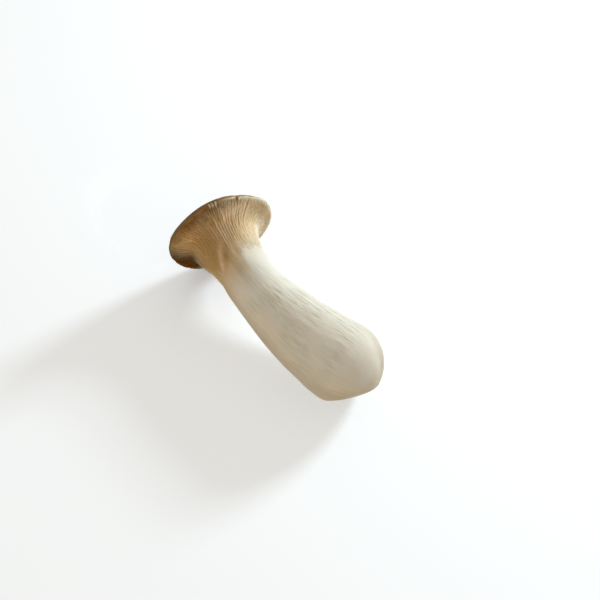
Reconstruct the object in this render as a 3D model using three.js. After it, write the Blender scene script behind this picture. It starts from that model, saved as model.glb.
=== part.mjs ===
// King oyster mushroom, picked and lying on its side: foot, stem, flared neck, gills and cap are one
// fruit body, so it is one solid. Millimetres, +Z up. The surface it lies on is z = 0, the cap is
// towards -X, the foot towards +X, and the origin is under the middle of its box.
import * as THREE from "three";

// Driving dimensions
const MARGIN_HEIGHT = 122; // along the middle line, from the foot's end to the cap's margin
const CAP_RADIUS = 29.2;
const CAP_RISE = 9; // the crown above the margin
const NECK_RADIUS = 13.85;
const FOOT_RADIUS = 20.9;
const FOOT_HEIGHT = 20.1; // where the foot is thickest
const MAIN_GILLS = 64; // as many short ones start between them on the way out
const GILL_DEPTH = 1.9;
const GILL_SWAY = 0.3; // how far a gill may stand off its even place, in spacings
const SEED = 11;

// The middle line is one Bezier curve, from the foot's end to past the crown
const MIDDLE_LINE = new THREE.CubicBezierCurve3(
  new THREE.Vector3(66.1, 2.5, 19.0),
  new THREE.Vector3(22.1, -7.3, 20.7),
  new THREE.Vector3(-22.9, -13.7, 24.5),
  new THREE.Vector3(-66.9, 4.5, 29.8),
);

// Half outline as [distance from the middle line, height along it], foot to crown
const OUTLINE = [
  [0, 0],
  [0.29 * FOOT_RADIUS, 0.05 * FOOT_HEIGHT],
  [0.6 * FOOT_RADIUS, 0.22 * FOOT_HEIGHT],
  [0.86 * FOOT_RADIUS, 0.52 * FOOT_HEIGHT],
  [FOOT_RADIUS, FOOT_HEIGHT],
  [0.92 * FOOT_RADIUS, 0.33 * MARGIN_HEIGHT],
  [0.81 * FOOT_RADIUS, 0.49 * MARGIN_HEIGHT],
  [1.045 * NECK_RADIUS, 0.655 * MARGIN_HEIGHT],
  [NECK_RADIUS, 0.78 * MARGIN_HEIGHT],
  [1.07 * NECK_RADIUS, 0.845 * MARGIN_HEIGHT],
  [0.6 * CAP_RADIUS, 0.92 * MARGIN_HEIGHT],
  [0.67 * CAP_RADIUS, 0.955 * MARGIN_HEIGHT],
  [0.89 * CAP_RADIUS, 0.982 * MARGIN_HEIGHT],
  [0.98 * CAP_RADIUS, MARGIN_HEIGHT - 0.4],
  [CAP_RADIUS, MARGIN_HEIGHT + 1.0],
  [0.966 * CAP_RADIUS, MARGIN_HEIGHT + 2.6],
  [0.82 * CAP_RADIUS, MARGIN_HEIGHT + 0.55 * CAP_RISE],
  [0.48 * CAP_RADIUS, MARGIN_HEIGHT + 0.89 * CAP_RISE],
  [0, MARGIN_HEIGHT + CAP_RISE],
];

// Places along the outline, counted in its points
const FOOT_WIDEST = 4;
const NECK = 8;
const GILLS_END = NECK + 0.3; // where the longest gills have run out on the stem
const GILLS_REACH = 0.8; // how much sooner the shortest of the main gills end there
const GILLS_FULL = NECK + 2.4; // where they are at their full depth
const SHORT_START = NECK + 2.2; // where the short gills begin between the main ones
const SHORT_FULL = NECK + 3.4;
const GILLS_SHALLOW = NECK + 4.2; // from here they get shallower, to nothing by the margin
const MARGIN = NECK + 5.35;
const CROWN = OUTLINE.length - 1;

// Rings of points as [first place, last place, how many, points in each]
const COLUMNS_PER_GILL = 4; // main crest, valley, short crest, valley
const RINGS = [
  [0.4, FOOT_WIDEST - 0.6, 9, MAIN_GILLS], // the foot's end
  [FOOT_WIDEST - 0.35, FOOT_WIDEST + 0.4, 4, MAIN_GILLS], // closer, where it rests
  [FOOT_WIDEST + 0.9, GILLS_END, 6, MAIN_GILLS], // the stem
  [GILLS_END + 0.3, MARGIN - 0.1, 12, MAIN_GILLS * COLUMNS_PER_GILL], // the gills
  [MARGIN, CROWN - 0.4, 9, MAIN_GILLS], // the margin and the top of the cap
];

// Neither the cap nor the stem is a true circle: each lobe is [waves round it, cosine share, sine share]
const CAP_LOBES = [
  [1, -0.001, 0.011],
  [2, -0.016, -0.005],
  [3, -0.003, -0.002],
  [4, 0.004, 0.005],
  [5, 0.005, 0.007],
];
const STEM_LOBES = [[2, 0, -0.015]];
const CAP_TILT = [-0.034, -0.03]; // the margin's rise per mm away from the middle line
const CAP_BLEND = [MARGIN_HEIGHT - 26, MARGIN_HEIGHT - 2];

// The knife's slanting cut under the foot: its point, its outward normal and its edge rounding
const CUT_POINT = new THREE.Vector3(67.8, 1.9, 17.4);
const CUT_NORMAL = new THREE.Vector3(0.67, -0.25, -0.7).normalize();
const CUT_EDGE = 1.0;

// Even draws from 0 to 1, the same each time: a linear congruential generator
function randomDraws(seed) {
  const [factor, step, modulus] = [1664525, 1013904223, 2 ** 32];
  let state = seed;
  return () => {
    state = (state * factor + step) % modulus;
    return state / modulus;
  };
}

function smoothstep(from, to, value) {
  const share = Math.min(Math.max((value - from) / (to - from), 0), 1);
  return share * share * (3 - 2 * share);
}

// A point of the half outline: a Catmull-Rom spline, mirrored at the middle line so the poles are round
function outlineAt(place) {
  const span = Math.min(Math.floor(place), CROWN - 1);
  const share = place - span;
  const point = (i) => {
    if (i < 0) return [-OUTLINE[1][0], OUTLINE[1][1]];
    if (i > CROWN) return [-OUTLINE[CROWN - 1][0], OUTLINE[CROWN - 1][1]];
    return OUTLINE[i];
  };
  const [a, b, c, d] = [span - 1, span, span + 1, span + 2].map(point);
  const blend = (k) =>
    0.5 *
    (2 * b[k] +
      (c[k] - a[k]) * share +
      (2 * a[k] - 5 * b[k] + 4 * c[k] - d[k]) * share ** 2 +
      (3 * b[k] - a[k] - 3 * c[k] + d[k]) * share ** 3);
  return [blend(0), blend(1)];
}

// The outline's outward normal there, as [away from the middle line, up along it]
function outlineNormal(place) {
  const step = 0.01;
  const before = outlineAt(Math.max(place - step, 0));
  const after = outlineAt(Math.min(place + step, CROWN));
  const along = [after[0] - before[0], after[1] - before[1]];
  const length = Math.hypot(along[0], along[1]);
  return [along[1] / length, -along[0] / length];
}

// How far the surface lies under the gills' edges at one column; some gills reach further down the stem
function gillRelief(place, column, reach) {
  const depth =
    GILL_DEPTH *
    smoothstep(GILLS_END + GILLS_REACH * reach, GILLS_FULL, place) *
    (1 - smoothstep(GILLS_SHALLOW, MARGIN, place));
  const kind = column % COLUMNS_PER_GILL;
  if (kind === 0) return 0;
  if (kind === 2) return depth * (1 - smoothstep(SHORT_START, SHORT_FULL, place));
  return depth;
}

function lobesAt(lobes, angle) {
  const wave = ([waves, cosine, sine]) => cosine * Math.cos(waves * angle) + sine * Math.sin(waves * angle);
  return lobes.reduce((sum, lobe) => sum + wave(lobe), 0);
}

const LINE_LENGTH = MIDDLE_LINE.getLength();
const UP = new THREE.Vector3(0, 0, 1);

// A point in the mushroom's own round coordinates, set on the bent middle line
function place3d(radius, height, angle) {
  const cap = smoothstep(...CAP_BLEND, height);
  const swell = 1 + cap * lobesAt(CAP_LOBES, angle) + (1 - cap) * lobesAt(STEM_LOBES, angle);
  const tilt = CAP_TILT[0] * Math.cos(angle) + CAP_TILT[1] * Math.sin(angle);
  const along = height + cap * radius * tilt;
  const share = Math.min(Math.max(along / LINE_LENGTH, 0), 1);
  const tangent = MIDDLE_LINE.getTangentAt(share);
  const centre = MIDDLE_LINE.getPointAt(share).addScaledVector(tangent, along - share * LINE_LENGTH);
  const side = new THREE.Vector3().crossVectors(UP, tangent).normalize();
  const top = new THREE.Vector3().crossVectors(tangent, side);
  return centre
    .addScaledVector(side, radius * swell * Math.cos(angle))
    .addScaledVector(top, radius * swell * Math.sin(angle));
}

// The foot stops at the knife's cut, with a soft edge, and what would sink into the table is flat
function trim(point) {
  const beyond = point.clone().sub(CUT_POINT).dot(CUT_NORMAL);
  const pushed = CUT_EDGE * Math.log1p(Math.exp(beyond / CUT_EDGE));
  point.addScaledVector(CUT_NORMAL, -pushed * smoothstep(-4 * CUT_EDGE, 0, beyond));
  point.z = Math.max(point.z, 0);
  return point;
}

// A ring of points: one column for each main gill on the plain skin, four where the gills are
function ringAt(place, columns, gills) {
  const [radius, height] = outlineAt(place);
  const normal = outlineNormal(place);
  return Array.from({ length: columns }, (_, column) => {
    const turn = (column * MAIN_GILLS) / columns;
    const here = gills[Math.floor(turn)];
    const next = gills[(Math.floor(turn) + 1) % MAIN_GILLS];
    const sway = here.sway + (next.sway - here.sway) * (turn % 1);
    const angle = ((turn + sway) / MAIN_GILLS) * 2 * Math.PI;
    const sunk = columns > MAIN_GILLS ? gillRelief(place, column, here.reach) : 0;
    return trim(place3d(radius - sunk * normal[0], height - sunk * normal[1], angle));
  });
}

function rowsBetween(from, to, count) {
  return Array.from({ length: count }, (_, i) => from + ((to - from) * i) / (count - 1));
}

// Triangles between two rings, where the second may have several points for each of the first's
function bridge(indices, lower, lowerCount, upper, upperCount) {
  const most = Math.max(lowerCount, upperCount);
  for (let i = 0; i < most; i++) {
    const low = Math.floor((i * lowerCount) / most);
    const lowNext = Math.floor(((i + 1) * lowerCount) / most) % lowerCount;
    const high = Math.floor((i * upperCount) / most);
    const highNext = Math.floor(((i + 1) * upperCount) / most) % upperCount;
    if (high !== highNext) indices.push(lower + low, upper + highNext, upper + high);
    if (low !== lowNext) indices.push(lower + low, lower + lowNext, upper + highNext);
  }
}

function mushroomGeometry() {
  const draw = randomDraws(SEED);
  const gills = Array.from({ length: MAIN_GILLS }, () => ({
    sway: GILL_SWAY * (draw() - 0.5),
    reach: draw(),
  }));
  const rings = RINGS.flatMap(([from, to, count, columns]) =>
    rowsBetween(from, to, count).map((place) => [place, columns]),
  );
  const positions = [trim(place3d(0, 0, 0))];
  const indices = [];
  let previous = null;
  for (const [place, columns] of rings) {
    const start = positions.length;
    positions.push(...ringAt(place, columns, gills));
    if (previous) bridge(indices, previous.start, previous.columns, start, columns);
    else for (let i = 0; i < columns; i++) indices.push(0, start + ((i + 1) % columns), start + i);
    previous = { start, columns };
  }
  const crown = positions.push(trim(place3d(0, outlineAt(CROWN)[1], 0))) - 1;
  for (let i = 0; i < previous.columns; i++)
    indices.push(crown, previous.start + i, previous.start + ((i + 1) % previous.columns));
  const geometry = new THREE.BufferGeometry().setFromPoints(positions);
  geometry.setIndex(indices);
  geometry.computeVertexNormals();
  return geometry;
}

const flesh = new THREE.MeshStandardMaterial({ color: 0xd9ceb6, roughness: 0.75, metalness: 0 });
const mushroom = new THREE.Mesh(mushroomGeometry(), flesh);
mushroom.name = "mushroom";

const fruitBody = new THREE.Group();
fruitBody.add(mushroom);

export default fruitBody;
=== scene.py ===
"""A king oyster mushroom lying on its side, set up as a Blender add-on and run as a script."""

import math

import bpy
from bpy.props import FloatProperty, FloatVectorProperty, IntProperty, PointerProperty
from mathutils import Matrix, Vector


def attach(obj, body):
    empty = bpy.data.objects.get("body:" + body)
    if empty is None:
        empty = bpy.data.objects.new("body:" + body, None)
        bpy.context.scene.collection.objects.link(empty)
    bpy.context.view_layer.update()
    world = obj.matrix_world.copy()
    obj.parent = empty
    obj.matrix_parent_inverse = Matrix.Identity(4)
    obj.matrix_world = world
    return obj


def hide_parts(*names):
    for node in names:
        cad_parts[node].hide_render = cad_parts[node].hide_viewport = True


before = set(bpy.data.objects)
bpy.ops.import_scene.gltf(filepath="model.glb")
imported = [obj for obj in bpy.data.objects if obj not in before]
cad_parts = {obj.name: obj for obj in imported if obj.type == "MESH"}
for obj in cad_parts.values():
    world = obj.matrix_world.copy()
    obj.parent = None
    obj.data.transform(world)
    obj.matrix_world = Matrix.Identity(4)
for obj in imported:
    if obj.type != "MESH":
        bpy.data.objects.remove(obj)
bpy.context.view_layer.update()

bl_info = {
    "name": "King Oyster Mushroom",
    "version": (1, 0, 0),
    "blender": (4, 5, 0),
    "location": "3D View > Sidebar > Mushroom",
    "description": "Grows a king oyster mushroom: its fruit body, its gills and the table it lies on",
    "category": "Add Mesh",
}

NODE = "mushroom"
MM = 0.001

# The mushroom's own measures, in metres. Heights run along its bent middle line from the foot's end.
MARGIN_HEIGHT = 0.122
CAP_RADIUS = 0.0294
CAP_RISE = 0.009
NECK_RADIUS = 0.01385
FOOT_RADIUS = 0.0209
FOOT_HEIGHT = 0.0201

# Middle line: one Bezier curve, from the foot's end to past the crown
MIDDLE_LINE = (
    (0.0661, 0.0025, 0.0190),
    (0.0221, -0.0073, 0.0207),
    (-0.0229, -0.0137, 0.0245),
    (-0.0669, 0.0045, 0.0298),
)
LINE_STEPS = 400

# Half outline as (distance from the middle line, height), foot to crown
OUTLINE = (
    (0, 0),
    (0.29 * FOOT_RADIUS, 0.05 * FOOT_HEIGHT),
    (0.6 * FOOT_RADIUS, 0.22 * FOOT_HEIGHT),
    (0.86 * FOOT_RADIUS, 0.52 * FOOT_HEIGHT),
    (FOOT_RADIUS, FOOT_HEIGHT),
    (0.92 * FOOT_RADIUS, 0.33 * MARGIN_HEIGHT),
    (0.81 * FOOT_RADIUS, 0.49 * MARGIN_HEIGHT),
    (1.045 * NECK_RADIUS, 0.655 * MARGIN_HEIGHT),
    (NECK_RADIUS, 0.78 * MARGIN_HEIGHT),
    (1.07 * NECK_RADIUS, 0.845 * MARGIN_HEIGHT),
    (0.6 * CAP_RADIUS, 0.92 * MARGIN_HEIGHT),
    (0.67 * CAP_RADIUS, 0.955 * MARGIN_HEIGHT),
    (0.89 * CAP_RADIUS, 0.982 * MARGIN_HEIGHT),
    (0.98 * CAP_RADIUS, MARGIN_HEIGHT - 0.4 * MM),
    (CAP_RADIUS, MARGIN_HEIGHT + 1.0 * MM),
    (0.966 * CAP_RADIUS, MARGIN_HEIGHT + 2.6 * MM),
    (0.82 * CAP_RADIUS, MARGIN_HEIGHT + 0.55 * CAP_RISE),
    (0.48 * CAP_RADIUS, MARGIN_HEIGHT + 0.89 * CAP_RISE),
    (0, MARGIN_HEIGHT + CAP_RISE),
)

# Places on the outline, counted in its points
NECK = 8
GILLS_END = NECK - 0.1
GILLS_FULL = NECK + 2.4
SHORT_GILLS = NECK + 2.2
TINY_GILLS = NECK + 3.4
GILLS_SHALLOW = NECK + 4.5
RIM = NECK + 5.3
MARGIN = NECK + 5.8
SKIN_EDGE = NECK + 6.1

# Neither the cap nor the stem is a true circle, and the neck stands a little to one side of the
# middle line: (waves round it, cosine share, sine share)
CAP_LOBES = (
    (1, -0.001, 0.011),
    (2, -0.016, -0.005),
    (3, -0.003, -0.002),
    (4, 0.004, 0.005),
    (5, 0.005, 0.007),
)
STEM_LOBES = ((2, 0, -0.015),)
NECK_LOBES = ((1, -0.04, 0.039),)
WIDE_SIDE = math.radians(58)  # the angle round the cap where its margin reaches further out
WIDE_SHARE = 0.031
CAP_TILT = (-0.034, -0.03)
CAP_BLEND = (MARGIN_HEIGHT - 26 * MM, MARGIN_HEIGHT - 2 * MM)
NECK_STARTS = (0.72 * MARGIN_HEIGHT, 0.8 * MARGIN_HEIGHT)
NECK_ENDS = (0.845 * MARGIN_HEIGHT, 0.92 * MARGIN_HEIGHT)

# The knife's slanting cut under the foot
CUT_POINT = (0.0678, 0.0019, 0.0174)
CUT_NORMAL = Vector((0.67, -0.25, -0.7)).normalized()
CUT_EDGE = 1.0 * MM

# Tears in the cap's margin: (angle round it, half width, share of the full depth), in degrees
TEARS = (
    (77.5, 0.8, 0.7),
    (80.5, 0.7, 1.0),
    (84, 0.9, 0.6),
    (107, 1.9, 0.75),
    (204, 1.4, 0.7),
    (238, 1.6, 1.0),
    (312, 1.2, 0.6),
)

# Uneven patterns in the shape, in noise waves per metre
LUMP_GRAIN = 42.0
FIBRE_GRAIN = 560.0
FIBRE_PATCH_GRAIN = 60.0
RAGGED_GRAIN = 330.0
RUFFLE_GRAIN = 900.0
SWAY_GRAIN = 420.0
FIBRE_SQUEEZE = (1.0, 1.0, 0.16)  # draws the fibres out along the stem

# Uneven patterns in the colours, in noise waves per metre, and the heights of the finest bumps
BROWN_EDGE_GRAIN = 420.0
BLOTCH_GRAIN = 260.0
CLOUD_GRAIN = 55.0
PORE_GRAIN = 2600.0
TABLE_GRAIN = 3.0
BROAD_BUMP = 0.16 * MM
FINE_BUMP = 0.04 * MM
PORE_BUMP = 0.03 * MM
GILL_BUMP = 0.05 * MM

# A gill's section, measured from the flesh between two gills
GILL_ROOT = -0.5 * MM
GILL_SUNK = -0.4 * MM  # where its free edge starts, before it comes out of the flesh
GILL_LEAST = 0.1 * MM
GILL_CORNERS = 8
START_SPREAD = 5 * MM
PLACE_SPREAD = 0.6  # how far a gill may stand from its even place, in gaps
UNFORKED = 0.35  # the share of the gills that don't turn toward a neighbour where they start
FORK_REACH = 0.9  # how far the others turn, as a share of the gap to it

ROW_STEP = 0.75 * MM
EDGE_STEP = 0.4 * MM
WELD = 0.002 * MM
SMOOTH_END = 6 * MM  # the lumps and fibres fade out where the skin comes this close to the middle line
LEAST_RADIUS = 1 * MM  # keeps a step sideways from turning far round, close to the middle line
GRAIN_RADIUS = 17 * MM  # the round that the skin's pattern is laid on, all along the mushroom
PAINTED_SHADE_SIDE = math.radians(-20)  # the angle round the mushroom where most shade is painted into its colour
CAP_SHADE_SIDE = math.radians(-32)  # and where the darkest shade is painted under the cap
STAINED_SIDE = math.radians(205)  # and where its outer gills are stained on their pale side
FOLD_SIDE = math.radians(50)  # and where a small fold runs up the neck
FOLD_SLANT = math.radians(2600)  # how fast the fold winds round, per metre up the mushroom

# Sockets told by their number, where several of a node's share one name
MIX_BELOW, MIX_ABOVE, MIXED = 6, 7, 2
DRAW_LOW, DRAW_HIGH, DRAWN = 2, 3, 1

# The stage: the lights stand in directions given as shares of the view's right, up and backward ones
FLOOR_HALF = 3.0
FLOOR_CLOUD = (0.7, 0.7, 0.7)
TOWARD_KEY = (0.72, 0.69, -0.05)
KEY_DISTANCE = 0.8
KEY_SIZE = 0.18
TOWARD_BEAM = (0.55, -0.1, 0.8)
BEAM_DISTANCE = 0.35
BEAM_SIZE = 0.025
BEAM_SPREAD = math.radians(6.5)
BEAM_TARGET = Vector((-0.044, -0.006, 0.045))


def outline_at(place):
    """The half outline at a place counted in its points: a Catmull-Rom curve, mirrored at both ends."""
    last = len(OUTLINE) - 1
    span = min(int(place), last - 1)
    share = place - span

    def point(index):
        if index < 0:
            return Vector((-OUTLINE[1][0], OUTLINE[1][1]))
        if index > last:
            return Vector((-OUTLINE[last - 1][0], OUTLINE[last - 1][1]))
        return Vector(OUTLINE[index])

    a, b, c, d = (point(span + step) for step in (-1, 0, 1, 2))
    curve = 2 * b + (c - a) * share
    curve += (2 * a - 5 * b + 4 * c - d) * share**2
    curve += (3 * b - a - 3 * c + d) * share**3
    return 0.5 * curve


def along_at(place):
    """How far a place lies from the middle of the foot, along the half outline."""
    steps = max(1, round(place * 40))
    points = [outline_at(place * step / steps) for step in range(steps + 1)]
    return sum((after - before).length for before, after in zip(points, points[1:]))


def outline_points():
    """Points of the half outline, closer together round the cap's margin."""
    points = []
    for span in range(len(OUTLINE) - 1):
        step = EDGE_STEP if span in range(NECK + 4, NECK + 8) else ROW_STEP
        length = (outline_at(span + 1) - outline_at(span)).length
        rows = max(2, round(length / step))
        points += [outline_at(span + row / rows) for row in range(rows)]
    points.append(outline_at(len(OUTLINE) - 1))
    return [(max(radius, 0), 0, height) for radius, height in points]


class Wiring:
    """Fills a node tree with nodes, and plugs plain values or other nodes' sockets into their inputs."""

    def __init__(self, tree, inputs=(), outputs=()):
        self.tree = tree
        for name, kind in inputs:
            tree.interface.new_socket(name=name, in_out="INPUT", socket_type="NodeSocket" + kind)
        for name, kind in outputs:
            tree.interface.new_socket(name=name, in_out="OUTPUT", socket_type="NodeSocket" + kind)
        self.given = tree.nodes.new("NodeGroupInput").outputs if inputs else {}

    def plug(self, value, socket):
        if isinstance(value, bpy.types.NodeSocket):
            self.tree.links.new(value, socket)
        elif value is not None:
            socket.default_value = value

    def node(self, kind, plugs=None, **settings):
        node = self.tree.nodes.new(kind)
        node.location = (180 * (len(self.tree.nodes) % 30), -220 * (len(self.tree.nodes) // 30))
        for name, value in settings.items():
            setattr(node, name, value)
        for name, value in (plugs or {}).items():
            self.plug(value, node.inputs[name])
        return node

    def group(self, tree, plugs, kind="GeometryNodeGroup"):
        return self.node(kind, plugs, node_tree=tree).outputs

    def math(self, operation, *values, clamp=False):
        plugs = dict(enumerate(values))
        return self.node("ShaderNodeMath", plugs, operation=operation, use_clamp=clamp).outputs[0]

    def vector(self, operation, *values):
        node = self.node("ShaderNodeVectorMath", dict(enumerate(values)), operation=operation)
        return node.outputs["Value" if operation == "DOT_PRODUCT" else "Vector"]

    def scaled(self, vector, factor):
        node = self.node("ShaderNodeVectorMath", {0: vector, "Scale": factor}, operation="SCALE")
        return node.outputs["Vector"]

    def split(self, vector):
        return self.node("ShaderNodeSeparateXYZ", {"Vector": vector}).outputs

    def join(self, x, y, z):
        return self.node("ShaderNodeCombineXYZ", {"X": x, "Y": y, "Z": z}).outputs[0]

    def rise(self, value, low, high, start=0.0, end=1.0):
        """start below low, end above high, and a smooth rise between them."""
        plugs = {"Value": value, "From Min": low, "From Max": high, "To Min": start, "To Max": end}
        return self.node("ShaderNodeMapRange", plugs, interpolation_type="SMOOTHSTEP").outputs["Result"]

    def noise(self, vector, scale, detail=2.0, roughness=0.5, distortion=0.0):
        plugs = {"Vector": vector, "Scale": scale, "Detail": detail, "Roughness": roughness}
        return self.node("ShaderNodeTexNoise", {**plugs, "Distortion": distortion}).outputs[0]

    def sway(self, *pattern):
        """Noise that swings about zero, by a half at most."""
        return self.math("SUBTRACT", self.noise(*pattern), 0.5)

    def add(self, *values):
        total = values[0]
        for value in values[1:]:
            total = self.math("ADD", total, value)
        return total

    def times(self, *values):
        total = values[0]
        for value in values[1:]:
            total = self.math("MULTIPLY", total, value)
        return total

    def finish(self, **results):
        output = self.node("NodeGroupOutput")
        for name, value in results.items():
            self.plug(value, output.inputs[name.replace("_", " ")])


def new_tree(name, kind="GeometryNodeTree"):
    return bpy.data.node_groups.new(name, kind)


def shared_tree(name, build):
    """A node group that is built once and used wherever it is asked for."""
    return bpy.data.node_groups.get(name) or build(name)


def waves(wiring, angle, lobes):
    """The sum of the lobes' waves at an angle."""
    total = 0.0
    for count, cosine, sine in lobes:
        turned = wiring.math("MULTIPLY", angle, count)
        wave = wiring.times(wiring.math("COSINE", turned), cosine)
        other = wiring.times(wiring.math("SINE", turned), sine)
        total = wiring.add(total, wave, other)
    return total


def past(w, value, start, full, before=0.0, after=1.0):
    """Turns smoothly from before to after between two places along the mushroom."""
    return w.rise(value, along_at(start), along_at(full), before, after)


def between(w, value, start, full, fading, gone, left=0.0):
    """Rises from 0 to 1 between two places, and falls to what is left between two later ones."""
    return w.times(past(w, value, start, full), past(w, value, fading, gone, 1.0, left))


def bend_tree(name):
    """Node group: sets a point given in round coordinates on the mushroom's bent middle line."""
    tree = new_tree(name)
    inputs = (("Radius", "Float"), ("Height", "Float"), ("Angle", "Float"))
    w = Wiring(tree, inputs, (("Position", "Vector"),))
    radius, height, angle = (w.given[name] for name, _ in inputs)
    cap = w.rise(height, *CAP_BLEND)
    wide = w.rise(w.math("COSINE", w.math("SUBTRACT", angle, WIDE_SIDE)), 0.6, 0.97, 0.0, WIDE_SHARE)
    lobes = w.times(w.add(waves(w, angle, CAP_LOBES), wide), cap)
    oval = w.times(waves(w, angle, STEM_LOBES), w.math("SUBTRACT", 1.0, cap))
    neck = w.times(w.rise(height, *NECK_STARTS), w.rise(height, *NECK_ENDS, 1.0, 0.0))
    swell = w.add(1.0, lobes, oval, w.times(waves(w, angle, NECK_LOBES), neck))
    tilt = waves(w, angle, ((1, *CAP_TILT),))
    along = w.add(height, w.times(cap, radius, tilt))
    points = dict(zip(("Start", "Start Handle", "End Handle", "End"), MIDDLE_LINE))
    points["Resolution"] = LINE_STEPS
    line = w.node("GeometryNodeCurvePrimitiveBezierSegment", points, mode="POSITION").outputs[0]
    whole = w.node("GeometryNodeCurveLength", {"Curve": line}).outputs[0]
    reach = w.math("MAXIMUM", w.math("MINIMUM", along, whole), 0.0)
    sample = w.node("GeometryNodeSampleCurve", {"Curves": line, "Length": reach}, mode="LENGTH")
    tangent = sample.outputs["Tangent"]
    beyond = w.scaled(tangent, w.math("SUBTRACT", along, reach))
    centre = w.vector("ADD", sample.outputs["Position"], beyond)
    side = w.vector("NORMALIZE", w.vector("CROSS_PRODUCT", (0, 0, 1), tangent))
    top = w.vector("CROSS_PRODUCT", tangent, side)
    out = w.times(radius, swell)
    centre = w.vector("ADD", centre, w.scaled(side, w.times(out, w.math("COSINE", angle))))
    w.finish(Position=w.vector("ADD", centre, w.scaled(top, w.times(out, w.math("SINE", angle)))))
    return tree


def skin_tree(name):
    """Node group: a point on or off the mushroom's skin, cut at the foot and stopped by the table."""
    tree = new_tree(name)
    bend = shared_tree("Bend on Middle Line", bend_tree)
    inputs = (
        ("Outline", "Geometry"),
        ("Along", "Float"),
        ("Angle", "Float"),
        ("Sideways", "Float"),
        ("Lift", "Float"),
    )
    outputs = (("Position", "Vector"), ("Unbent", "Vector"), ("Cut", "Float"), ("Radius", "Float"))
    w = Wiring(tree, inputs, outputs)
    given = w.given
    sample = w.node(
        "GeometryNodeSampleCurve", {"Curves": given["Outline"], "Length": given["Along"]}, mode="LENGTH"
    )
    point = w.split(sample.outputs["Position"])
    slope = w.split(sample.outputs["Tangent"])
    radius = w.math("MAXIMUM", w.add(point["X"], w.times(given["Lift"], slope["Z"])), 0.0)
    height = w.math("SUBTRACT", point["Z"], w.times(given["Lift"], slope["X"]))
    shift = w.math("DIVIDE", given["Sideways"], w.math("MAXIMUM", point["X"], LEAST_RADIUS))
    angle = w.add(given["Angle"], shift)
    bent = w.group(bend, {"Radius": radius, "Height": height, "Angle": angle})["Position"]
    beyond = w.vector("DOT_PRODUCT", w.vector("SUBTRACT", bent, CUT_POINT), tuple(CUT_NORMAL))
    grown = w.math("EXPONENT", w.math("DIVIDE", beyond, CUT_EDGE))
    soft = w.times(w.math("LOGARITHM", w.add(1.0, grown), math.e), CUT_EDGE)
    cut = w.times(soft, w.rise(beyond, -4 * CUT_EDGE, 0.0))
    trimmed = w.vector("SUBTRACT", bent, w.scaled(tuple(CUT_NORMAL), cut))
    place = w.split(trimmed)
    position = w.join(place["X"], place["Y"], w.math("MAXIMUM", place["Z"], 0.0))
    round_x = w.times(w.math("COSINE", angle), GRAIN_RADIUS)
    round_y = w.times(w.math("SINE", angle), GRAIN_RADIUS)
    unbent = w.join(round_x, round_y, given["Along"])
    w.finish(Position=position, Unbent=unbent, Cut=cut, Radius=point["X"])
    return tree


def gill_depth(w, along, angle, depth):
    """How deep the gills' grooves are: deepest half way out, and lower on the side with painted shade."""
    shown = between(w, along, GILLS_END, GILLS_FULL, GILLS_SHALLOW, MARGIN)
    side = w.math("COSINE", w.math("SUBTRACT", angle, PAINTED_SHADE_SIDE))
    return w.times(depth, shown, w.rise(side, -0.2, 0.9, 1.0, 0.5))


def fibre_share(w, unbent, along):
    """How much the stem's fibres show: in patches, most half way up and least at the foot's end."""
    patchy = w.rise(w.noise(unbent, FIBRE_PATCH_GRAIN, 1.0), 0.36, 0.64, 0.2, 1.0)
    return w.times(between(w, along, 2.6, 4.0, 6.2, 7.8, 0.2), patchy)


def kept(w, name):
    """A value kept on the mesh's points, read back."""
    node = w.node("GeometryNodeInputNamedAttribute", {"Name": name}, data_type="FLOAT")
    return node.outputs["Attribute"]


def store(w, geometry, name, value, kind="FLOAT"):
    """Keeps a value on every point of the mesh, for the material to read."""
    plugs = {"Geometry": geometry, "Name": name, "Value": value}
    return w.node("GeometryNodeStoreNamedAttribute", plugs, data_type=kind).outputs[0]


def torn_share(w, angle):
    """How far the margin is torn at an angle, from 0 to 1."""
    total = 0.0
    for middle, width, depth in TEARS:
        off = w.math("DIVIDE", w.math("SUBTRACT", angle, math.radians(middle)), math.radians(width))
        notch = w.math("EXPONENT", w.times(off, off, -1.0))
        total = w.add(total, w.times(notch, depth))
    return total


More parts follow.
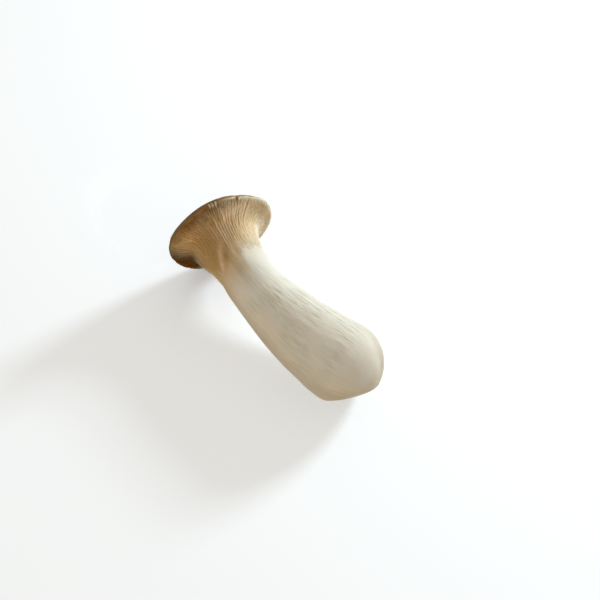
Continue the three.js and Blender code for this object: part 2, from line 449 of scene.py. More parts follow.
def body_tree():
    """The fruit body: its half outline turned round the bent middle line, with lumps and a ragged margin."""
    tree = new_tree("Fruit Body")
    skin = shared_tree("Point on Skin", skin_tree)
    tree.is_modifier = True
    inputs = (
        ("Geometry", "Geometry"),
        ("Columns", "Int"),
        ("Gill Depth", "Float"),
        ("Lumps", "Float"),
        ("Ridges", "Float"),
        ("Raggedness", "Float"),
        ("Tear Depth", "Float"),
        ("Material", "Material"),
    )
    w = Wiring(tree, inputs, (("Geometry", "Geometry"),))
    given = w.given
    outline = given["Geometry"]
    rows = w.node("GeometryNodeAttributeDomainSize", {"Geometry": outline}).outputs["Point Count"]
    grid = w.node(
        "GeometryNodeMeshGrid",
        {
            "Size X": 1.0,
            "Size Y": 1.0,
            "Vertices X": w.math("ADD", given["Columns"], 1),
            "Vertices Y": rows,
        },
    ).outputs["Mesh"]
    spot = w.split(w.node("GeometryNodeInputPosition").outputs[0])
    angle = w.times(w.add(spot["X"], 0.5), math.tau)
    row = w.math("ROUND", w.times(w.add(spot["Y"], 0.5), w.math("SUBTRACT", rows, 1)))
    along = w.node(
        "GeometryNodeSampleIndex",
        {"Geometry": outline, "Value": kept(w, "along"), "Index": row},
        data_type="FLOAT",
        domain="POINT",
    ).outputs["Value"]
    curve = w.node("GeometryNodeMeshToCurve", {"Mesh": outline}).outputs[0]
    plugs = {"Outline": curve, "Along": along, "Angle": angle}
    smooth = w.group(skin, plugs)
    unbent = smooth["Unbent"]
    lumps = w.times(w.sway(unbent, LUMP_GRAIN, 1.0), given["Lumps"])
    stretched = w.vector("MULTIPLY", unbent, FIBRE_SQUEEZE)
    ridge = w.sway(stretched, FIBRE_GRAIN, 3.0, 0.5, 0.5)
    ridges = w.times(ridge, fibre_share(w, unbent, along), given["Ridges"])
    edge = between(w, along, RIM - 0.5, RIM + 0.5, SKIN_EDGE, SKIN_EDGE + 1.2)
    ragged = w.times(w.sway(unbent, RAGGED_GRAIN, 4.0, 0.65), edge)
    dips = w.times(gill_depth(w, along, angle, given["Gill Depth"]), -1.0)
    poles = w.rise(smooth["Radius"], 0.0, SMOOTH_END)
    rough = w.times(w.add(lumps, ridges, w.times(ragged, given["Raggedness"])), poles)
    torn = torn_share(w, angle)
    tear = w.times(torn, edge, given["Tear Depth"], -1.0)
    placed = w.group(skin, {**plugs, "Lift": w.add(dips, rough, tear)})
    mesh = store(w, grid, "unbent", unbent, "FLOAT_VECTOR")
    mesh = store(w, mesh, "along", along)
    mesh = store(w, mesh, "cut", placed["Cut"])
    mesh = store(w, mesh, "torn", torn)
    mesh = w.node("GeometryNodeSetPosition", {"Geometry": mesh, "Position": placed["Position"]}).outputs[0]
    mesh = w.node("GeometryNodeMergeByDistance", {"Geometry": mesh, "Distance": WELD}).outputs[0]
    mesh = w.node("GeometryNodeSetShadeSmooth", {"Geometry": mesh}).outputs[0]
    w.finish(Geometry=surfaced(w, mesh, given["Material"]))
    return tree


def surfaced(w, geometry, material):
    """The end of each tree: real geometry with its material on it."""
    real = w.node("GeometryNodeRealizeInstances", {"Geometry": geometry}).outputs[0]
    return w.node("GeometryNodeSetMaterial", {"Geometry": real, "Material": material}).outputs[0]


def gills_tree():
    """The gills: thin blades set round the underside of the cap, long, short and tiny ones in turn."""
    tree = new_tree("Gills")
    skin = shared_tree("Point on Skin", skin_tree)
    tree.is_modifier = True
    inputs = (
        ("Geometry", "Geometry"),
        ("Long Gills", "Int"),
        ("Gill Depth", "Float"),
        ("Thickness", "Float"),
        ("Waviness", "Float"),
        ("Ruffle", "Float"),
        ("Steps", "Int"),
        ("Seed", "Int"),
        ("Material", "Material"),
    )
    w = Wiring(tree, inputs, (("Geometry", "Geometry"),))
    given = w.given
    curve = w.node("GeometryNodeMeshToCurve", {"Mesh": given["Geometry"]}).outputs[0]

    def draw(low, high, salt):
        """A random number for each gill."""
        plugs = {DRAW_LOW: low, DRAW_HIGH: high, "Seed": w.math("ADD", given["Seed"], salt)}
        return w.node("FunctionNodeRandomValue", plugs, data_type="FLOAT").outputs[DRAWN]

    count = w.math("MULTIPLY", given["Long Gills"], 4)
    points = w.node("GeometryNodePoints", {"Count": count}).outputs[0]
    index = w.node("GeometryNodeInputIndex").outputs[0]
    kind = w.math("MODULO", index, 4)
    tiny = w.math("MODULO", index, 2)
    short = w.math("COMPARE", kind, 2, 0.1)
    first = along_at(GILLS_END)
    start = w.add(
        first,
        w.times(short, along_at(SHORT_GILLS) - first),
        w.times(tiny, along_at(TINY_GILLS) - first),
        draw(0.0, START_SPREAD, 1),
    )
    place = w.add(index, draw(-PLACE_SPREAD, PLACE_SPREAD, 2))
    turn = w.times(w.math("DIVIDE", place, count), math.tau)
    points = store(w, points, "turn", turn)
    points = store(w, points, "start", start)
    points = store(w, points, "kind", w.add(w.times(short, 0.5), tiny))
    points = store(w, points, "phase", draw(0.0, 100.0, 3))
    forked = w.math("GREATER_THAN", draw(0.0, 1.0, 4), UNFORKED)
    side = w.math("SUBTRACT", w.times(w.math("GREATER_THAN", draw(0.0, 1.0, 5), 0.5), 2.0), 1.0)
    gap = w.math("DIVIDE", w.add(w.times(short, 2.0), tiny), count)
    points = store(w, points, "fork", w.times(forked, side, gap, math.tau * FORK_REACH))

    blade = w.node(
        "GeometryNodeMeshCylinder",
        {"Vertices": GILL_CORNERS, "Side Segments": given["Steps"], "Radius": 1.0, "Depth": 1.0},
        fill_type="TRIANGLE_FAN",
    ).outputs["Mesh"]
    # Laid round the cap, a blade turns inside out, so its faces are turned first
    blade = w.node("GeometryNodeFlipFaces", {"Mesh": blade}).outputs["Mesh"]
    blades = w.node("GeometryNodeInstanceOnPoints", {"Points": points, "Instance": blade}).outputs[0]
    blades = w.node("GeometryNodeRealizeInstances", {"Geometry": blades}).outputs[0]

    spot = w.split(w.node("GeometryNodeInputPosition").outputs[0])
    share = w.add(spot["Z"], 0.5)
    height = w.times(w.add(spot["Y"], 1.0), 0.5)
    last = along_at(MARGIN)
    along = w.add(w.times(kept(w, "start"), w.math("SUBTRACT", 1.0, share)), w.times(share, last))
    groove = gill_depth(w, along, kept(w, "turn"), given["Gill Depth"])
    grown = w.rise(share, 0.0, w.add(0.12, w.times(0.3, kept(w, "kind"))))
    lower = w.times(kept(w, "kind"), 0.35)
    ruffle_spot = w.join(w.times(along, RUFFLE_GRAIN), kept(w, "phase"), 5.0)
    ruffle = w.times(w.sway(ruffle_spot, 1.0, 2.0), given["Ruffle"], grown)
    sunk = w.rise(share, 0.0, 0.1, GILL_SUNK, 0.0)
    crest = w.add(w.times(groove, w.math("SUBTRACT", grown, lower)), ruffle, sunk)
    tall = w.math("MAXIMUM", w.math("SUBTRACT", crest, GILL_ROOT), GILL_LEAST)
    lift = w.add(w.times(groove, -1.0), GILL_ROOT, w.times(height, tall))
    turn = w.add(kept(w, "turn"), w.times(kept(w, "fork"), w.rise(share, 0.0, 0.45, 1.0, 0.0)))
    sway_spot = w.join(w.times(along, SWAY_GRAIN), kept(w, "phase"), 0.0)
    sway = w.times(w.sway(sway_spot, 1.0, 2.0), given["Waviness"])
    sway = w.times(sway, w.rise(share, 0.35, 0.8, 1.0, 0.35))
    slim = w.rise(height, 0.0, 1.0, 1.0, 0.55)
    across = w.times(spot["X"], 0.5, given["Thickness"], slim)
    placed = w.group(
        skin,
        {
            "Outline": curve,
            "Along": along,
            "Angle": turn,
            "Sideways": w.add(across, sway),
            "Lift": lift,
        },
    )
    mesh = store(w, blades, "unbent", placed["Unbent"], "FLOAT_VECTOR")
    mesh = store(w, mesh, "along", along)
    mesh = store(w, mesh, "crest", height)
    mesh = store(w, mesh, "torn", torn_share(w, turn))
    mesh = w.node("GeometryNodeSetPosition", {"Geometry": mesh, "Position": placed["Position"]}).outputs[0]
    mesh = w.node("GeometryNodeSetShadeSmooth", {"Geometry": mesh}).outputs[0]
    w.finish(Geometry=surfaced(w, mesh, given["Material"]))
    return tree


def grow(name, tree, values):
    """Runs a tree on the half outline and leaves its plain mesh, riding on the part's only body."""
    outline = outline_points()
    mesh = bpy.data.meshes.new(name)
    mesh.from_pydata(outline, [(row, row + 1) for row in range(len(outline) - 1)], [])
    along = [0.0]
    for before, after in zip(outline, outline[1:]):
        along.append(along[-1] + (Vector(after) - Vector(before)).length)
    mesh.attributes.new("along", "FLOAT", "POINT").data.foreach_set("value", along)
    piece = bpy.data.objects.new(name, mesh)
    bpy.context.scene.collection.objects.link(piece)
    modifier = piece.modifiers.new(name, "NODES")
    modifier.node_group = tree
    for socket in tree.interface.items_tree:
        if socket.in_out == "INPUT" and socket.name in values:
            modifier[socket.identifier] = values[socket.name]
    graph = bpy.context.evaluated_depsgraph_get()
    finished = bpy.data.meshes.new_from_object(piece.evaluated_get(graph), depsgraph=graph)
    piece.modifiers.clear()
    piece.data = finished
    bpy.data.meshes.remove(mesh)
    if len(finished.polygons) == 0:
        raise RuntimeError(f"{name} came out empty")
    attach(piece, "root")
    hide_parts(NODE)
    return piece


def fibres_tree(name):
    """Shader group: fine streaks that run along the mushroom."""
    tree = new_tree(name, "ShaderNodeTree")
    inputs = (("Vector", "Vector"), ("Width", "Float"), ("Stretch", "Float"), ("Contrast", "Float"))
    w = Wiring(tree, inputs, (("Streaks", "Float"),))
    given = w.given
    shorter = w.join(1.0, 1.0, w.math("DIVIDE", 1.0, given["Stretch"]))
    squeezed = w.vector("MULTIPLY", given["Vector"], shorter)
    value = w.noise(squeezed, w.math("DIVIDE", 0.5, given["Width"]), 4.0, 0.65, 0.4)
    half = w.math("DIVIDE", 0.25, given["Contrast"])
    streaks = w.rise(value, w.math("SUBTRACT", 0.5, half), w.add(0.5, half))
    w.finish(Streaks=streaks)
    return tree


def mottle_tree(name):
    """Shader group: soft uneven patches, with small dark flecks on their own output."""
    tree = new_tree(name, "ShaderNodeTree")
    inputs = (("Vector", "Vector"), ("Size", "Float"), ("Fleck Size", "Float"))
    w = Wiring(tree, inputs, (("Patches", "Float"), ("Flecks", "Float")))
    given = w.given
    patches = w.rise(w.noise(given["Vector"], w.math("DIVIDE", 0.5, given["Size"]), 5.0, 0.6), 0.3, 0.7)
    spots = w.node(
        "ShaderNodeTexVoronoi",
        {"Vector": given["Vector"], "Scale": w.math("DIVIDE", 0.5, given["Fleck Size"])},
    ).outputs["Distance"]
    chance = w.rise(w.noise(given["Vector"], w.math("DIVIDE", 0.4, given["Fleck Size"]), 1.0), 0.61, 0.69)
    flecks = w.times(w.rise(spots, 0.1, 0.35, 1.0, 0.0), chance)
    w.finish(Patches=patches, Flecks=flecks)
    return tree


def toward_gills_tree(name):
    """Shader group: how far the stem's colour has turned to the gills' tan, sooner on the side with painted
    shade.
    """
    tree = new_tree(name, "ShaderNodeTree")
    inputs = (("Along", "Float"), ("Turned", "Float"), ("Patches", "Float"))
    w = Wiring(tree, inputs, (("Share", "Float"),))
    given = w.given
    sooner = w.rise(given["Turned"], -0.5, -0.15, 0.0, 14 * MM)
    later = w.rise(given["Turned"], 0.1, 0.6, 0.0, -3 * MM)
    reach = w.add(given["Along"], sooner, later, w.times(given["Patches"], 3 * MM))
    w.finish(Share=past(w, reach, NECK - 0.3, NECK + 2.6))
    return tree


class Paint(Wiring):
    """Wiring for a material: reads what the mesh keeps and mixes colours."""

    def __init__(self, material):
        material.use_nodes = True
        super().__init__(material.node_tree)
        self.shader = self.tree.nodes["Principled BSDF"]

    def kept(self, name, output="Fac"):
        return self.node("ShaderNodeAttribute", attribute_name=name).outputs[output]

    def mix(self, factor, below, above, blend="MIX"):
        plugs = {"Factor": factor}
        for value, socket in ((below, MIX_BELOW), (above, MIX_ABOVE)):
            plugs[socket] = value if isinstance(value, bpy.types.NodeSocket) else rgb(value)
        return self.node("ShaderNodeMix", plugs, data_type="RGBA", blend_type=blend).outputs[MIXED]

    def shared(self, name, build, **values):
        plugs = {key.replace("_", " "): value for key, value in values.items()}
        return self.group(shared_tree(name, build), plugs, "ShaderNodeGroup")

    def bump(self, height, distance, strength, below=None):
        plugs = {"Height": height, "Distance": distance, "Strength": strength, "Normal": below}
        return self.node("ShaderNodeBump", plugs).outputs[0]


def rgb(colour):
    return (*colour, 1.0)


def facing(p, unbent, angle):
    """1 along the mushroom's side at this angle, -1 along the side opposite."""
    middle = (math.cos(angle) / GRAIN_RADIUS, math.sin(angle) / GRAIN_RADIUS, 0.0)
    return p.vector("DOT_PRODUCT", unbent, middle)


def gill_paint(p, colours, turned, along, mottle, crest):
    """Tan of the gills with painted shade on one side and in the grooves, browner toward the rim, with the
    fold's painted highlight and shade, the stain, painted shade under the cap and the torn rim.
    """
    # Share of the gills' painted warm shade: on the near lower side, reaching further round near the rim, and
    # some on the far side's rim
    further = p.times(
        past(p, along, NECK + 2.4, NECK + 3.2),
        p.rise(turned, -0.42, -0.22, 0.0, 0.45),
        p.rise(turned, -0.05, 0.2, 1.0, 0.0),
    )
    pale_rim = p.times(
        past(p, along, NECK + 3.2, NECK + 4.0),
        p.rise(turned, -0.95, -0.8, 0.45, 0.0),
    )
    gill_shade_share = p.math("MAXIMUM", p.rise(p.add(turned, further), -0.45, 0.5), pale_rim)
    tan = p.mix(gill_shade_share, colours.gill, colours.gill_painted_shade)
    # Painted shade in the grooves between gills: darkest at a gill's root, none at its crest
    groove = p.mix(1.0, tan, colours.groove, "MULTIPLY")
    colour = p.mix(crest, groove, tan)
    place = p.node("ShaderNodeTexCoord").outputs["Object"]
    ragged = p.rise(p.noise(place, BROWN_EDGE_GRAIN, 3.0, 0.6), 0.35, 0.65)
    inward = p.rise(turned, -0.92, -0.75, 3.5 * MM, 0.0)
    reach = p.add(along, inward, p.times(mottle["Patches"], 2.5 * MM), p.times(ragged, 2.2 * MM))
    blotches = p.rise(p.noise(place, BLOTCH_GRAIN, 2.0), 0.36, 0.6, 0.6, 1.0)
    # The gills' own brown band inside the rim, weaker on the pale side and fuller elsewhere as painted shade
    brown = p.times(
        past(p, reach, NECK + 3.8, NECK + 5.6, 0.0, 0.88),
        p.rise(turned, -0.7, 0.2, 0.3, 1.0),
        p.rise(turned, 0.3, 0.8, 1.0, 0.6),
        blotches,
    )
    colour = p.mix(brown, colour, colours.gill_edge)
    colour = p.mix(p.times(mottle["Flecks"], 0.6), colour, colours.gill_edge)
    # The cream rim reaches further in on the pale side, partly as a painted highlight
    wider = p.rise(turned, -0.65, -0.4, 1.0 * MM, 0.0)
    at_rim = past(p, p.add(along, wider), RIM - 0.25, RIM + 0.15)
    colour = p.mix(at_rim, colour, rim_paint(p, colours, turned, mottle))
    unbent = p.kept("unbent", "Vector")
    colour = painted_fold(p, colours, unbent, along, colour)
    stained = p.times(
        past(p, along, NECK + 3.63, NECK + 3.83),
        p.rise(facing(p, unbent, STAINED_SIDE), 0.74, 0.9, 0.0, 0.42),
    )
    colour = p.mix(stained, colour, colours.gill_edge)
    # Painted shade under the cap, low on its near side
    cap_shade_share = p.times(
        past(p, along, NECK + 0.8, NECK + 3.3),
        p.rise(facing(p, unbent, CAP_SHADE_SIDE), 0.67, 0.99),
    )
    colour = p.mix(cap_shade_share, colour, colours.cap_painted_shade)
    torn = p.mix(p.rise(turned, -0.45, -0.25), colours.cap_edge, colours.margin)
    return p.mix(p.times(torn_edge(p, along), p.rise(p.kept("torn"), 0.1, 0.5)), colour, torn)


def painted_fold(p, colours, unbent, along, colour):
    """The fold on the neck, without relief: a painted highlight line with a painted shade line beside it,
    both fading at their ends.
    """
    across = facing(p, unbent, FOLD_SIDE + math.pi / 2)
    wound = p.times(p.add(along, -along_at(NECK + 1.1)), FOLD_SLANT)
    across = p.math("SUBTRACT", across, wound)
    ends = between(p, along, NECK, NECK + 0.6, NECK + 1.2, NECK + 1.7)
    # The paler line is the fold's painted highlight, the browner one its painted shade
    lines = ((0.0, 0.11, 0.72, colours.fold), (0.3, 0.14, 0.36, colours.gill_edge))
    for middle, width, share, tint in lines:
        off = p.math("DIVIDE", p.add(across, -middle), width)
        line = p.math("EXPONENT", p.times(off, off, -1.0))
        colour = p.mix(p.times(line, ends, share), colour, tint)
    return colour


def painted_neck_shade(p, turned, along):
    """Painted shade of the cap where the neck is greyer: all round it but for the side with warm painted
    shade, and most beside that.
    """
    return p.times(
        between(p, along, NECK - 1.4, NECK - 0.2, NECK + 0.3, NECK + 1.5),
        p.rise(turned, 0.1, 0.27, 1.0, 0.0),
        p.rise(turned, -0.6, -0.3, 0.45, 1.0),
    )


def torn_edge(p, along):
    """Where a tear in the rim shows its flesh: from among the outer gills to the cap's skin."""
    return past(p, along, NECK + 4.2, NECK + 4.7)


def rim_paint(p, colours, turned, mottle):
    """Cream with brown spots on the rim's pale side, where the cream is partly a painted highlight; brown all
    over on its other side, partly painted shade.
    """
    stained = p.math("ADD", p.rise(turned, -0.62, -0.2), p.times(mottle["Flecks"], 0.8), clamp=True)
    return p.mix(stained, colours.margin, colours.gill_edge)


def flesh_material(colours):
    """Ivory stem with painted warm shade on one side, tan under the gills, pale margin, brown cap skin and a
    beige cut.
    """
    material = bpy.data.materials.new("mushroom_flesh_and_skin")
    p = Paint(material)
    unbent = p.kept("unbent", "Vector")
    along = p.kept("along")
    place = p.node("ShaderNodeTexCoord").outputs["Object"]

    broad = p.shared("Fibres", fibres_tree, Vector=unbent, Width=0.8 * MM, Stretch=8.0, Contrast=1.3)
    fine = p.shared("Fibres", fibres_tree, Vector=unbent, Width=0.4 * MM, Stretch=9.0, Contrast=1.2)
    mottle = p.shared("Mottle", mottle_tree, Vector=place, Size=4 * MM, Fleck_Size=1.1 * MM)
    patches = mottle["Patches"]

    side = facing(p, unbent, PAINTED_SHADE_SIDE)
    turned = p.add(side, p.times(patches, 0.12), -0.06)
    streaked = p.add(side, p.times(broad["Streaks"], 0.08), -0.04)
    foot_reach = p.add(along, p.times(patches, 3 * MM))
    # Toward the foot's end the stem turns to the cut flesh's colour, partly its own browner flesh and partly
    # painted shade
    foot_end = past(p, foot_reach, 1.2, 4.4, 0.85, 0.0)
    stem = p.mix(foot_end, colours.stem, colours.foot)
    stem = p.mix(past(p, foot_reach, 1.0, 2.2, 0.5, 0.0), stem, colours.foot_dark)
    # Painted warm shade on the stem's near lower side, deepest along the middle of that side
    warm = p.times(p.rise(streaked, 0.1, 0.95), past(p, along, 0.2, 1.6))
    stem = p.mix(warm, stem, colours.stem_painted_shade, "MULTIPLY")
    warmest = p.times(p.rise(streaked, 0.74, 1.0), past(p, along, 1.4, 2.8))
    stem = p.mix(warmest, stem, colours.stem_painted_shade_line, "MULTIPLY")
    # Painted shade on the stem's far side, most near the foot
    far = p.times(p.rise(streaked, -0.95, -0.7, 1.0, 0.0), between(p, along, 0.4, 2.0, 3.2, 4.8, 0.3))
    stem = p.mix(far, stem, colours.stem_far_painted_shade, "MULTIPLY")
    fibrous = fibre_share(p, unbent, along)
    stem = p.mix(p.times(broad["Streaks"], fibrous, 0.3), stem, colours.stem_streak)
    stem = p.mix(p.times(fine["Streaks"], p.add(0.1, p.times(fibrous, 0.4))), stem, colours.stem_streak)
    shared = p.shared("Toward Gills", toward_gills_tree, Along=along, Turned=turned, Patches=patches)
    under = p.mix(shared["Share"], stem, gill_paint(p, colours, turned, along, mottle, 0.3))
    # Painted shade of the cap on the neck
    under = p.mix(painted_neck_shade(p, turned, along), under, colours.neck, "MULTIPLY")

    hair = p.shared("Fibres", fibres_tree, Vector=unbent, Width=0.45 * MM, Stretch=12.0, Contrast=1.5)
    cloud = p.rise(p.noise(place, CLOUD_GRAIN, 4.0, 0.6), 0.35, 0.65)
    cap = p.mix(p.times(p.add(cloud, patches), 0.5), colours.cap, colours.cap_dark)
    outer = past(p, p.add(along, p.times(cloud, 4 * MM)), SKIN_EDGE, NECK + 9, 0.9, 0.0)
    # Mostly on the pale side, where the paler edge is partly a painted highlight
    outer = p.times(outer, p.rise(turned, -0.4, 0.0, 1.0, 0.2))
    cap = p.mix(outer, cap, colours.cap_edge)
    cap = p.mix(p.times(hair["Streaks"], 0.45), cap, colours.cap_dark)
    cap = p.mix(p.times(mottle["Flecks"], 0.7), cap, colours.cap_fleck)

    wavering = p.add(along, p.times(patches, 0.9 * MM), p.times(p.kept("torn"), -2 * MM))
    past_margin = past(p, wavering, SKIN_EDGE - 0.1, SKIN_EDGE + 0.3)
    colour = p.mix(past_margin, under, cap)
    cut = p.rise(p.kept("cut"), 0.3 * MM, 1.4 * MM)
    foot = p.mix(patches, colours.foot, colours.foot_dark)
    colour = p.mix(cut, colour, foot)
    p.plug(colour, p.shader.inputs["Base Color"])

    p.plug(p.rise(past_margin, 0.0, 1.0, 0.7, 0.6), p.shader.inputs["Roughness"])
    normal = p.bump(p.times(broad["Streaks"], fibrous), BROAD_BUMP, 0.7)
    normal = p.bump(fine["Streaks"], FINE_BUMP, 0.5, normal)
    normal = p.bump(p.noise(place, PORE_GRAIN, 3.0, 0.6), PORE_BUMP, 0.7, normal)
    p.plug(normal, p.shader.inputs["Normal"])
    soften(p.shader, 0.18, 2.0 * MM, 0.1)
    return material


def gill_material(colours):
    """Tan blades with painted shade in their grooves and on one side, browner toward the margin, creamier at
    their crests and where they run down the stem.
    """
    material = bpy.data.materials.new("mushroom_gills")
    p = Paint(material)
    unbent = p.kept("unbent", "Vector")
    along = p.kept("along")
    place = p.node("ShaderNodeTexCoord").outputs["Object"]
    fine = p.shared("Fibres", fibres_tree, Vector=unbent, Width=0.6 * MM, Stretch=6.0, Contrast=1.0)
    mottle = p.shared("Mottle", mottle_tree, Vector=place, Size=3 * MM, Fleck_Size=0.9 * MM)
    patches = mottle["Patches"]
    turned = p.add(facing(p, unbent, PAINTED_SHADE_SIDE), p.times(patches, 0.1), -0.05)
    crest = p.times(p.kept("crest"), p.rise(fine["Streaks"], 0.0, 1.0, 0.6, 1.0))
    tan = gill_paint(p, colours, turned, along, mottle, crest)
    shared = p.shared("Toward Gills", toward_gills_tree, Along=along, Turned=turned, Patches=patches)
    colour = p.mix(shared["Share"], colours.stem, tan)
    # Painted shade of the cap on the neck
    colour = p.mix(painted_neck_shade(p, turned, along), colour, colours.neck, "MULTIPLY")
    p.plug(colour, p.shader.inputs["Base Color"])
    p.plug(p.bump(fine["Streaks"], GILL_BUMP, 0.5), p.shader.inputs["Normal"])
    p.shader.inputs["Roughness"].default_value = 0.9
    soften(p.shader, 0.4, 1.6 * MM, 0.04)
    return material


def soften(shader, weight, scale, shine):
    """Lets a little light through the flesh and leaves it almost dull, as in any mushroom."""
    shader.inputs["Subsurface Weight"].default_value = weight
    shader.inputs["Subsurface Radius"].default_value = (1.0, 0.8, 0.6)
    shader.inputs["Subsurface Scale"].default_value = scale
    shader.inputs["Specular IOR Level"].default_value = shine


def floor_material(colours, glow):
    """Pale table top, lit a little from within as a light table is."""
    material = bpy.data.materials.new("studio_floor")
    p = Paint(material)
    place = p.node("ShaderNodeTexCoord").outputs["Object"]
    tint = p.rise(p.noise(place, TABLE_GRAIN), 0.3, 0.7, 0.0, 0.03)
    p.plug(p.mix(tint, colours.floor, FLOOR_CLOUD), p.shader.inputs["Base Color"])
    p.shader.inputs["Roughness"].default_value = 0.9
    p.shader.inputs["Emission Color"].default_value = rgb(colours.floor)
    p.shader.inputs["Emission Strength"].default_value = glow
    return material


def length_setting(name, description, default):
    return FloatProperty(
        name=name, description=description, default=default, min=0.0, precision=5, unit="LENGTH"
    )


def colour_setting(name, description, default):
    return FloatVectorProperty(
        name=name, description=description, default=default, size=3, subtype="COLOR", min=0.0, max=1.0
    )


class MushroomSizes(bpy.types.PropertyGroup):
    columns: IntProperty(name="Columns", description="Faces round the fruit body", default=320, min=32)
    lumps: length_setting("Lumps", "How far the flesh swells and dips", 0.9 * MM)
    ridges: length_setting("Ridges", "Height of the fibres down the stem", 0.8 * MM)
    raggedness: length_setting("Raggedness", "How uneven the cap's margin is", 1.3 * MM)
    tear_depth: length_setting("Tear depth", "Depth of the deepest tear in the margin", 1.8 * MM)
    gill_depth: length_setting("Gill depth", "Depth of the grooves between gills", 1.9 * MM)
    gill_thickness: length_setting("Gill thickness", "Thickness of one gill at its root", 0.56 * MM)
    gill_waviness: length_setting("Gill waviness", "How far a gill sways sideways", 2.4 * MM)
    gill_ruffle: length_setting("Gill ruffle", "How uneven a gill's free edge is", 1.1 * MM)
    long_gills: IntProperty(name="Long gills", description="Gills that reach the stem", default=82, min=8)
    gill_steps: IntProperty(name="Gill steps", description="Faces along one gill", default=32, min=4)
    seed: IntProperty(name="Seed", description="Changes the gills' places and sway", default=11)


class MushroomColours(bpy.types.PropertyGroup):
    stem: colour_setting("Stem", "Ivory of the stem", (0.855, 0.825, 0.76))
    # Painted shade multiplied into the stem: on its near lower side, deeper along its middle, and on its far
    # side near the foot
    stem_painted_shade: colour_setting("Stem's tan side", "Multiplies the stem's colour there", (0.88, 0.775, 0.63))
    stem_painted_shade_line: colour_setting("Stem's tan line", "Multiplies it more in the middle", (0.74, 0.69, 0.61))
    stem_far_painted_shade: colour_setting("Stem's far side", "Multiplies it opposite, near the foot", (0.76, 0.71, 0.65))
    stem_streak: colour_setting("Stem streaks", "Darker fibres on the stem", (0.55, 0.54, 0.44))
    # Painted shade of the cap round the neck
    neck: colour_setting("Neck", "Multiplies the colour round the neck", (0.76, 0.79, 0.80))
    gill: colour_setting("Gills", "Gills on the pale side", (0.88, 0.775, 0.60))
    # The gills under painted warm shade
    gill_painted_shade: colour_setting("Gills, tan side", "Gills on the tan side", (0.63, 0.455, 0.237))
    # Painted shade in the gills' grooves
    groove: colour_setting("Groove", "Multiplies the gills' colour in their grooves", (0.82, 0.68, 0.52))
    gill_edge: colour_setting("Gill near margin", "Gills close to the cap's margin", (0.24, 0.115, 0.03))
    # Painted highlight of the fold on the neck
    fold: colour_setting("Fold", "Paler line of the fold on the neck", (0.87, 0.65, 0.42))
    # Painted shade under the cap
    cap_painted_shade: colour_setting("Bruise", "Bruised underside of the cap", (0.05, 0.018, 0.004))
    margin: colour_setting("Margin", "Pale rim of the cap", (0.78, 0.68, 0.52))
    cap: colour_setting("Cap", "Brown skin of the cap", (0.25, 0.15, 0.073))
    cap_dark: colour_setting("Cap fibrils", "Darker fibres and patches on the cap", (0.12, 0.067, 0.031))
    cap_edge: colour_setting("Cap edge", "Paler skin round the cap", (0.33, 0.21, 0.115))
    cap_fleck: colour_setting("Cap flecks", "Small dark flecks on the cap", (0.05, 0.03, 0.015))
    foot: colour_setting("Cut foot", "Flesh at the foot's end", (0.60, 0.545, 0.45))
    foot_dark: colour_setting("Cut foot stain", "Darker patches at the knife's cut", (0.50, 0.41, 0.28))
    floor: colour_setting("Floor", "Table top", (0.82, 0.86, 0.92))
    sky: colour_setting("Sky", "Light from all round", (1.0, 0.90, 0.74))
    key: colour_setting("Key", "Main light", (0.83, 0.95, 1.0))


class StudioSettings(bpy.types.PropertyGroup):
    key_power: FloatProperty(name="Key", description="Main light", default=5.3, min=0.0, unit="POWER")
    beam_power: FloatProperty(name="Beam", description="Narrow light on the gills", default=0.0013, min=0.0)
    sky: FloatProperty(name="Sky", description="Light from all round", default=0.55, min=0.0)
    glow: FloatProperty(name="Glow", description="Light from the table top", default=0.38, min=0.0)
    lens: FloatProperty(name="Lens", description="Focal length in mm", default=85.0, min=10.0)
    distance: FloatProperty(name="Distance", description="Camera to mushroom", default=0.7233, unit="LENGTH")
    azimuth: FloatProperty(
        name="Azimuth", description="Camera's turn", default=math.radians(49.81), subtype="ANGLE"
    )
    elevation: FloatProperty(
        name="Elevation", description="Camera's height", default=math.radians(52.48), subtype="ANGLE"
    )
    aim: FloatVectorProperty(
        name="Aim", description="What the camera looks at", default=(0.00506, 0.00436, 0.02619), subtype="XYZ"
    )


class MUSHROOM_OT_body(bpy.types.Operator):
    """Grow the fruit body: foot, stem, neck and cap"""

    bl_idname = "mushroom.body"
    bl_label = "Fruit Body"

    def execute(self, context):
        sizes = context.scene.mushroom_sizes
        values = {
            "Columns": sizes.columns,
            "Gill Depth": sizes.gill_depth,
            "Lumps": sizes.lumps,
            "Ridges": sizes.ridges,
            "Raggedness": sizes.raggedness,
            "Tear Depth": sizes.tear_depth,
            "Material": flesh_material(context.scene.mushroom_colours),
        }
        grow("fruit_body", body_tree(), values)
        return {"FINISHED"}


class MUSHROOM_OT_gills(bpy.types.Operator):
    """Set the gills round the underside of the cap"""

    bl_idname = "mushroom.gills"
    bl_label = "Gills"

    def execute(self, context):
        sizes = context.scene.mushroom_sizes
        values = {
            "Long Gills": sizes.long_gills,
            "Gill Depth": sizes.gill_depth,
            "Thickness": sizes.gill_thickness,
            "Waviness": sizes.gill_waviness,
            "Ruffle": sizes.gill_ruffle,
            "Steps": sizes.gill_steps,
            "Seed": sizes.seed,
            "Material": gill_material(context.scene.mushroom_colours),
        }
        grow("gills", gills_tree(), values)
        return {"FINISHED"}


class MUSHROOM_OT_studio(bpy.types.Operator):
    """Lay the floor and set up the light and the camera"""

    bl_idname = "mushroom.studio"
    bl_label = "Floor, Light and Camera"

    def execute(self, context):
        studio = context.scene.mushroom_studio
        colours = context.scene.mushroom_colours
        lay_floor(colours, studio.glow)
        light_studio(studio, colours)
        aim_camera(studio)
        return {"FINISHED"}


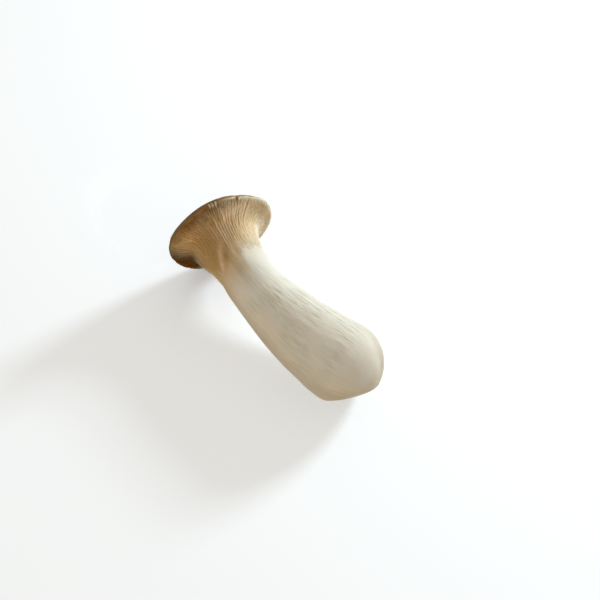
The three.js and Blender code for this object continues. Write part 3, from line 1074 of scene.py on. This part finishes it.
def lay_floor(colours, glow):
    mesh = bpy.data.meshes.new("floor")
    corners = [(x * FLOOR_HALF, y * FLOOR_HALF, 0) for x, y in ((-1, -1), (1, -1), (1, 1), (-1, 1))]
    mesh.from_pydata(corners, [], [(0, 1, 2, 3)])
    floor = bpy.data.objects.new("floor", mesh)
    mesh.materials.append(floor_material(colours, glow))
    bpy.context.scene.collection.objects.link(floor)


def view_axes(studio):
    """The camera's right, up and backward directions."""
    azimuth, elevation = studio.azimuth, studio.elevation
    back = Vector(
        (
            math.sin(azimuth) * math.cos(elevation),
            -math.cos(azimuth) * math.cos(elevation),
            math.sin(elevation),
        )
    )
    right = Vector((math.cos(azimuth), math.sin(azimuth), 0.0))
    return right, back.cross(right), back


def in_view(studio, shares):
    """The direction with these shares of the camera's right, up and backward directions."""
    return sum((axis * share for axis, share in zip(view_axes(studio), shares)), Vector())


def add_light(name, power, colour, size, target, toward, distance, spread=math.pi):
    """A round soft light that the camera doesn't see, at a distance from what it shines on."""
    light = bpy.data.lights.new(name, "AREA")
    light.energy = power
    light.color = colour
    light.shape = "DISK"
    light.size = size
    light.spread = spread
    lamp = bpy.data.objects.new(name, light)
    lamp.location = target + distance * toward.normalized()
    lamp.rotation_euler = toward.to_track_quat("Z", "Y").to_euler()
    lamp.visible_camera = False
    bpy.context.scene.collection.objects.link(lamp)


def light_studio(studio, colours):
    """A key light from the upper right of the view, a narrow one on the gills, and the sky."""
    key = ("key", studio.key_power, colours.key, KEY_SIZE)
    add_light(*key, Vector(studio.aim), in_view(studio, TOWARD_KEY), KEY_DISTANCE)
    beam = ("beam", studio.beam_power, colours.sky, BEAM_SIZE)
    add_light(*beam, BEAM_TARGET, in_view(studio, TOWARD_BEAM), BEAM_DISTANCE, BEAM_SPREAD)
    world = bpy.data.worlds.new("studio")
    world.use_nodes = True
    background = world.node_tree.nodes["Background"]
    background.inputs["Color"].default_value = rgb(colours.sky)
    background.inputs["Strength"].default_value = studio.sky
    bpy.context.scene.world = world
    bpy.context.scene.view_settings.view_transform = "Standard"


def aim_camera(studio):
    camera = bpy.data.cameras.new("camera")
    camera.lens = studio.lens
    camera.sensor_width = 36.0
    viewer = bpy.data.objects.new("camera", camera)
    back = view_axes(studio)[2]
    viewer.location = Vector(studio.aim) + back * studio.distance
    viewer.rotation_euler = back.to_track_quat("Z", "Y").to_euler()
    bpy.context.scene.collection.objects.link(viewer)
    bpy.context.scene.camera = viewer


class MUSHROOM_PT_panel(bpy.types.Panel):
    """Lists the mushroom's pieces, sizes and colours"""

    bl_idname = "MUSHROOM_PT_panel"
    bl_label = "King Oyster Mushroom"
    bl_space_type = "VIEW_3D"
    bl_region_type = "UI"
    bl_category = "Mushroom"

    def draw(self, context):
        scene = context.scene
        for operator in OPERATORS:
            self.layout.operator(operator.bl_idname)
        for settings in (scene.mushroom_sizes, scene.mushroom_colours, scene.mushroom_studio):
            box = self.layout.box()
            for name in settings.__annotations__:
                box.prop(settings, name)


OPERATORS = (MUSHROOM_OT_body, MUSHROOM_OT_gills, MUSHROOM_OT_studio)
SETTINGS = (
    ("mushroom_sizes", MushroomSizes),
    ("mushroom_colours", MushroomColours),
    ("mushroom_studio", StudioSettings),
)


def register():
    for name, settings in SETTINGS:
        bpy.utils.register_class(settings)
        setattr(bpy.types.Scene, name, PointerProperty(type=settings))
    for thing in (*OPERATORS, MUSHROOM_PT_panel):
        bpy.utils.register_class(thing)


def unregister():
    for thing in (MUSHROOM_PT_panel, *reversed(OPERATORS)):
        bpy.utils.unregister_class(thing)
    for name, settings in reversed(SETTINGS):
        delattr(bpy.types.Scene, name)
        bpy.utils.unregister_class(settings)


def main():
    register()
    bpy.ops.mushroom.body()
    bpy.ops.mushroom.gills()
    bpy.ops.mushroom.studio()


if __name__ == "__main__":
    main()
